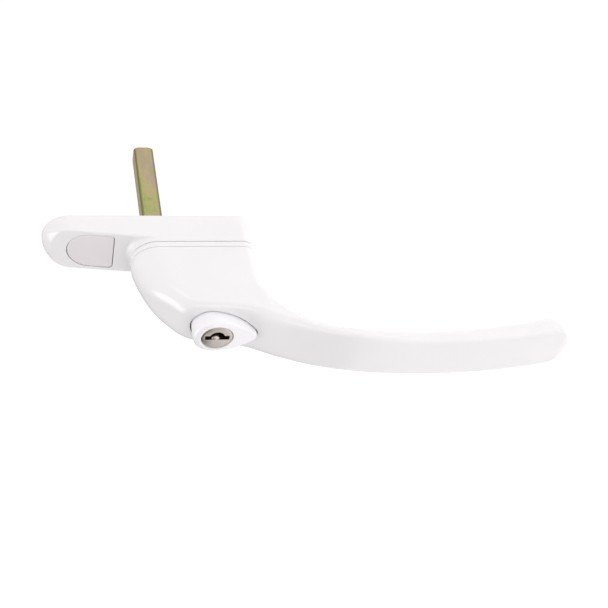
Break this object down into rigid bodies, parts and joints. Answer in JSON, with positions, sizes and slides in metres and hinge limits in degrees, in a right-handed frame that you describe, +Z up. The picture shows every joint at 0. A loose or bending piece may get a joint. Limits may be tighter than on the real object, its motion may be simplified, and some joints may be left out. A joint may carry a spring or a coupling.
{
  "type": "locking window handle",
  "caption": "Inline lever handle for a window, with a key-locking push button in the neck, a snap-in screw cover and a square drive spindle.",
  "frame": {"origin": "on the spindle axis, in the plane of the base's back face, where the spindle leaves the handle", "axes": "+Y along the spindle into the sash, -Y into the room, +Z up the sash towards the screw cover, lever hanging towards -Z, +X across the base"},
  "size_m": [0.0212, 0.102, 0.1798],
  "materials": {
    "white_coat": "glossy white powder coat on die-cast zinc",
    "button_coat": "glossy white paint on die-cast zinc",
    "cover_plastic": "satin white moulding",
    "yellow_zinc": "yellow passivated zinc plate",
    "zinc_steel": "bright zinc plate",
    "spring_steel": "oiled spring steel",
    "nickel": "satin nickel plate",
    "brass": "stamped",
    "nylon": "moulded nylon"
  },
  "bodies": {
    "base": {"base_plate": "white_coat", "bearing_bush": "nylon", "detent_springs": "spring_steel"},
    "cover": {"screw_cover": "cover_plastic"},
    "lever": {"lever": "white_coat", "foot_plate": "white_coat", "foot_plate_screw": "zinc_steel", "spindle": "yellow_zinc", "spindle_roll_pin": "spring_steel", "detent_cam": "zinc_steel", "wave_washer": "spring_steel", "retaining_washer": "zinc_steel", "circlip": "spring_steel", "button_spring": "spring_steel"},
    "button": {"lock_button": "button_coat", "locking_pin": "zinc_steel", "plug_retaining_pin": "zinc_steel", "latch_spring": "spring_steel"},
    "plug": {"lock_plug": "nickel", "plug_tail": "nickel", "wafer_1": "brass", "wafer_2": "brass", "wafer_3": "brass", "wafer_4": "brass", "wafer_5": "brass", "wafer_springs": "spring_steel"},
    "latch": {"latch_slide": "zinc_steel"}
  },
  "joints": [
    {"name": "lever_turn", "type": "hinge", "parent": "base", "child": "lever", "pos_m": [0, 0, 0], "axis": [0, 1, 0], "range_deg": [-90, 90], "deforming": ["detent_springs"]},
    {"name": "cover_pull", "type": "slide", "parent": "base", "child": "cover", "axis": [0, -1, 0], "range_m": [0, 0.01]},
    {"name": "button_press", "type": "slide", "parent": "lever", "child": "button", "axis": [0, 1, 0], "range_m": [0, 0.005], "stiffness_N_per_m": 600, "springref_m": -0.004, "deforming": ["button_spring"]},
    {"name": "key_turn", "type": "hinge", "parent": "button", "child": "plug", "pos_m": [0, -0.048, -0.0167], "axis": [0, 1, 0], "range_deg": [0, 90]},
    {"name": "latch_slide_x", "type": "slide", "parent": "button", "child": "latch", "axis": [1, 0, 0], "range_m": [0, 0.0017], "deforming": ["latch_spring"]}
  ],
  "couplings": [
    {"joint": "latch_slide_x", "follows": "key_turn", "m_per_rad": 0.00108}
  ]
}
